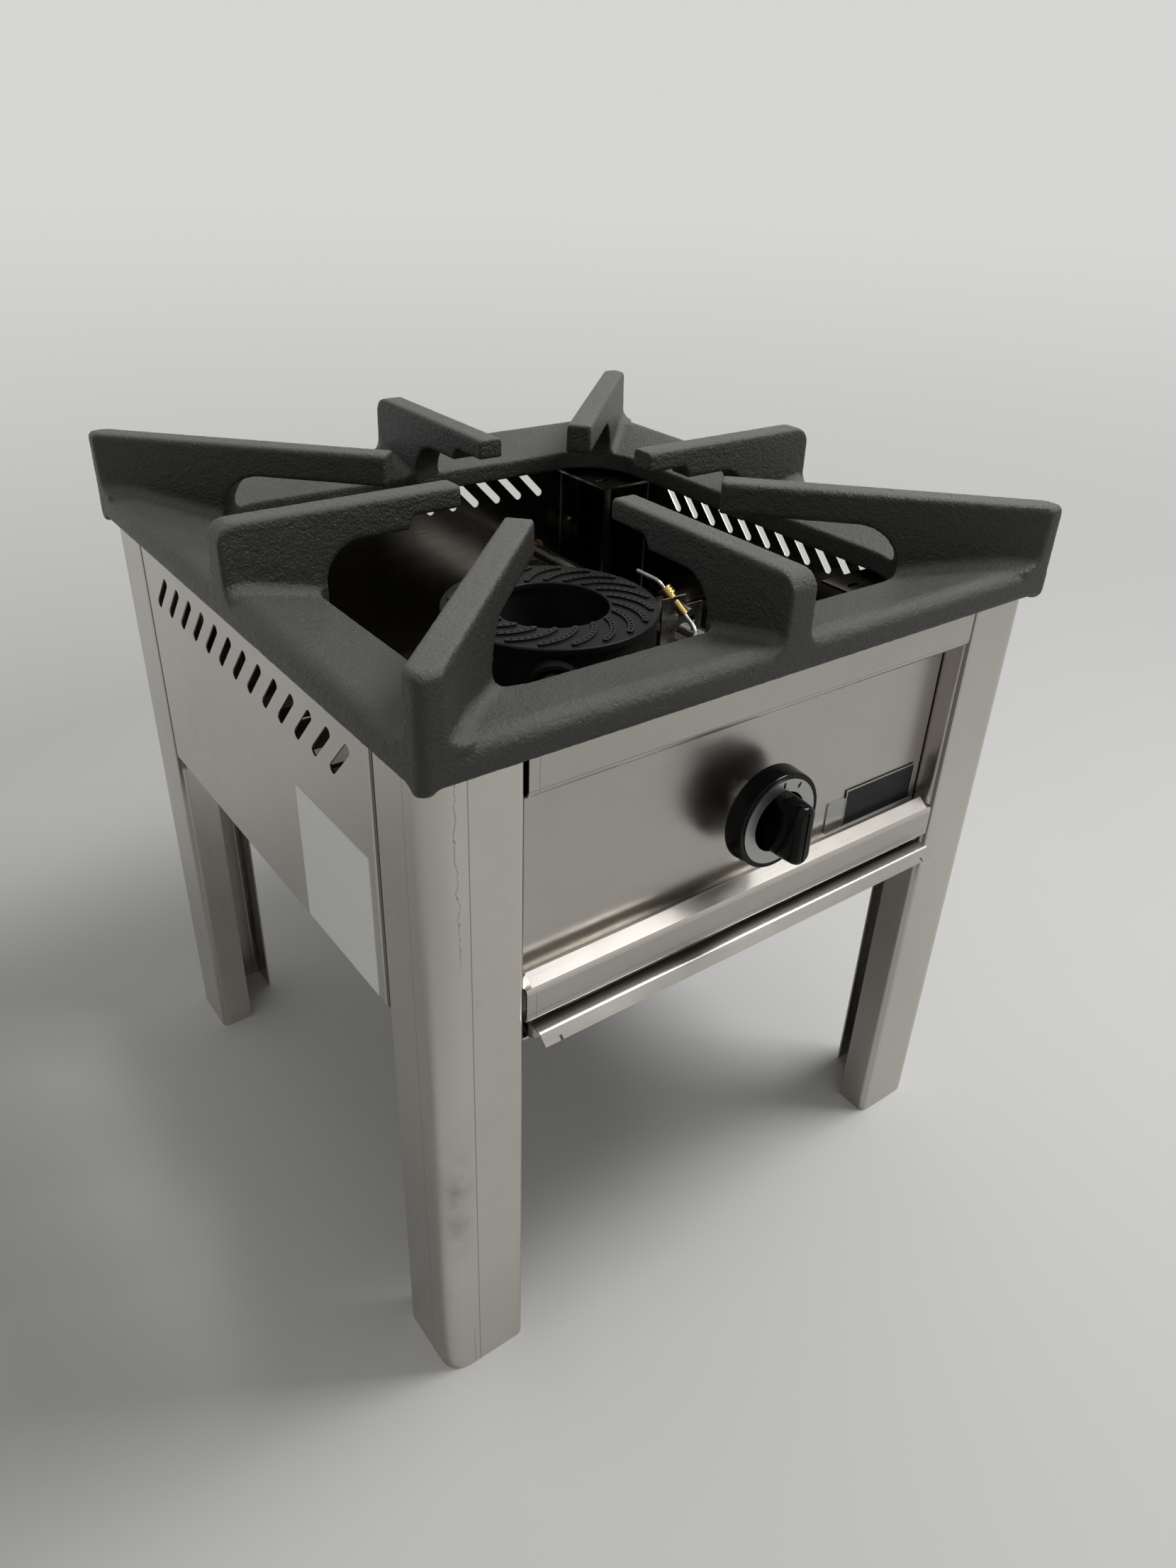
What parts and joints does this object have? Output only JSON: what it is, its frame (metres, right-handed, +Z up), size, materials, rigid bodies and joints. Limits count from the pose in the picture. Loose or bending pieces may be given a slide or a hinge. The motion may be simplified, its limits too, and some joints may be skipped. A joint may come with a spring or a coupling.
{
  "type": "gas wok burner",
  "caption": "Free-standing gas wok burner: square cast pan support with raised fingers, ring burner, slotted steel body on four folded legs, push-and-turn knob, drip tray.",
  "frame": {"origin": "on the floor, below the middle of the burner ring", "axes": "+Z up, front and knob towards -Y, +X to the right seen from the front"},
  "size_m": [0.5, 0.556, 0.548],
  "materials": {
    "body_steel": "brushed satin",
    "screw_steel": "bright",
    "tube_steel": "satin",
    "tube_aluminium": "dull",
    "pan_iron": "grey satin coating",
    "burner_iron": "dark rough",
    "brass": "turned",
    "knob_black": "semi gloss",
    "plate_silver": "satin",
    "plate_black": "satin"
  },
  "bodies": {
    "frame": {"back_panel": "body_steel", "badge_plate": "plate_black", "badge_tab": "plate_silver", "bracket_screw": "screw_steel", "burner_bar_back": "body_steel", "burner_bar_front": "body_steel", "burner_body": "burner_iron", "control_panel": "body_steel", "corner_plate_back_left": "body_steel", "corner_plate_back_right": "body_steel", "corner_plate_front_left": "body_steel", "corner_plate_front_right": "body_steel", "feed_pipe": "tube_aluminium", "front_lower_rail": "body_steel", "front_top_band": "body_steel", "gas_valve": "brass", "injector": "brass", "inlet_fitting": "brass", "leg_back_left": "body_steel", "leg_back_right": "body_steel", "leg_front_left": "body_steel", "leg_front_right": "body_steel", "mixing_tube": "tube_steel", "panel_screws": "screw_steel", "pilot_bracket": "tube_steel", "pilot_burner": "brass", "pilot_pipe": "tube_aluminium", "pilot_tip": "tube_steel", "pipe_clamps": "tube_steel", "rating_plate": "plate_silver", "runner_screws": "screw_steel", "side_panel_left": "body_steel", "side_panel_right": "body_steel", "supply_pipe": "tube_steel", "thermocouple": "tube_steel", "tray_runner_left": "body_steel", "tray_runner_right": "body_steel", "valve_nut": "brass"},
    "pan_support": {"pan_support": "pan_iron"},
    "burner_cap": {"burner_cap": "burner_iron"},
    "drip_tray": {"drip_tray": "body_steel"},
    "air_shutter": {"air_shutter": "tube_steel"},
    "stem_collar": {"stem_collar": "brass"},
    "knob": {"knob": "knob_black", "knob_dial": "plate_silver", "valve_stem": "brass"}
  },
  "joints": [
    {"name": "pan_support_lift", "type": "slide", "parent": "frame", "child": "pan_support", "axis": [0, 0, 1], "range_m": [0, 0.1]},
    {"name": "burner_cap_lift", "type": "slide", "parent": "frame", "child": "burner_cap", "axis": [0, 0, 1], "range_m": [0, 0.06]},
    {"name": "drip_tray_slide", "type": "slide", "parent": "frame", "child": "drip_tray", "axis": [0, -1, 0], "range_m": [0, 0.4]},
    {"name": "air_shutter_turn", "type": "hinge", "parent": "frame", "child": "air_shutter", "pos_m": [-0.08632, -0.13293, 0.4162], "axis": [-0.5446, -0.8387, 0], "range_deg": [0, 60]},
    {"name": "knob_push", "type": "slide", "parent": "frame", "child": "stem_collar", "axis": [0, 1, 0], "range_m": [0, 0.005], "stiffness_N_per_m": 1500, "springref_m": -0.004},
    {"name": "knob_turn", "type": "hinge", "parent": "stem_collar", "child": "knob", "pos_m": [0, -0.25, 0.385], "axis": [0, -1, 0], "range_deg": [0, 180]}
  ]
}
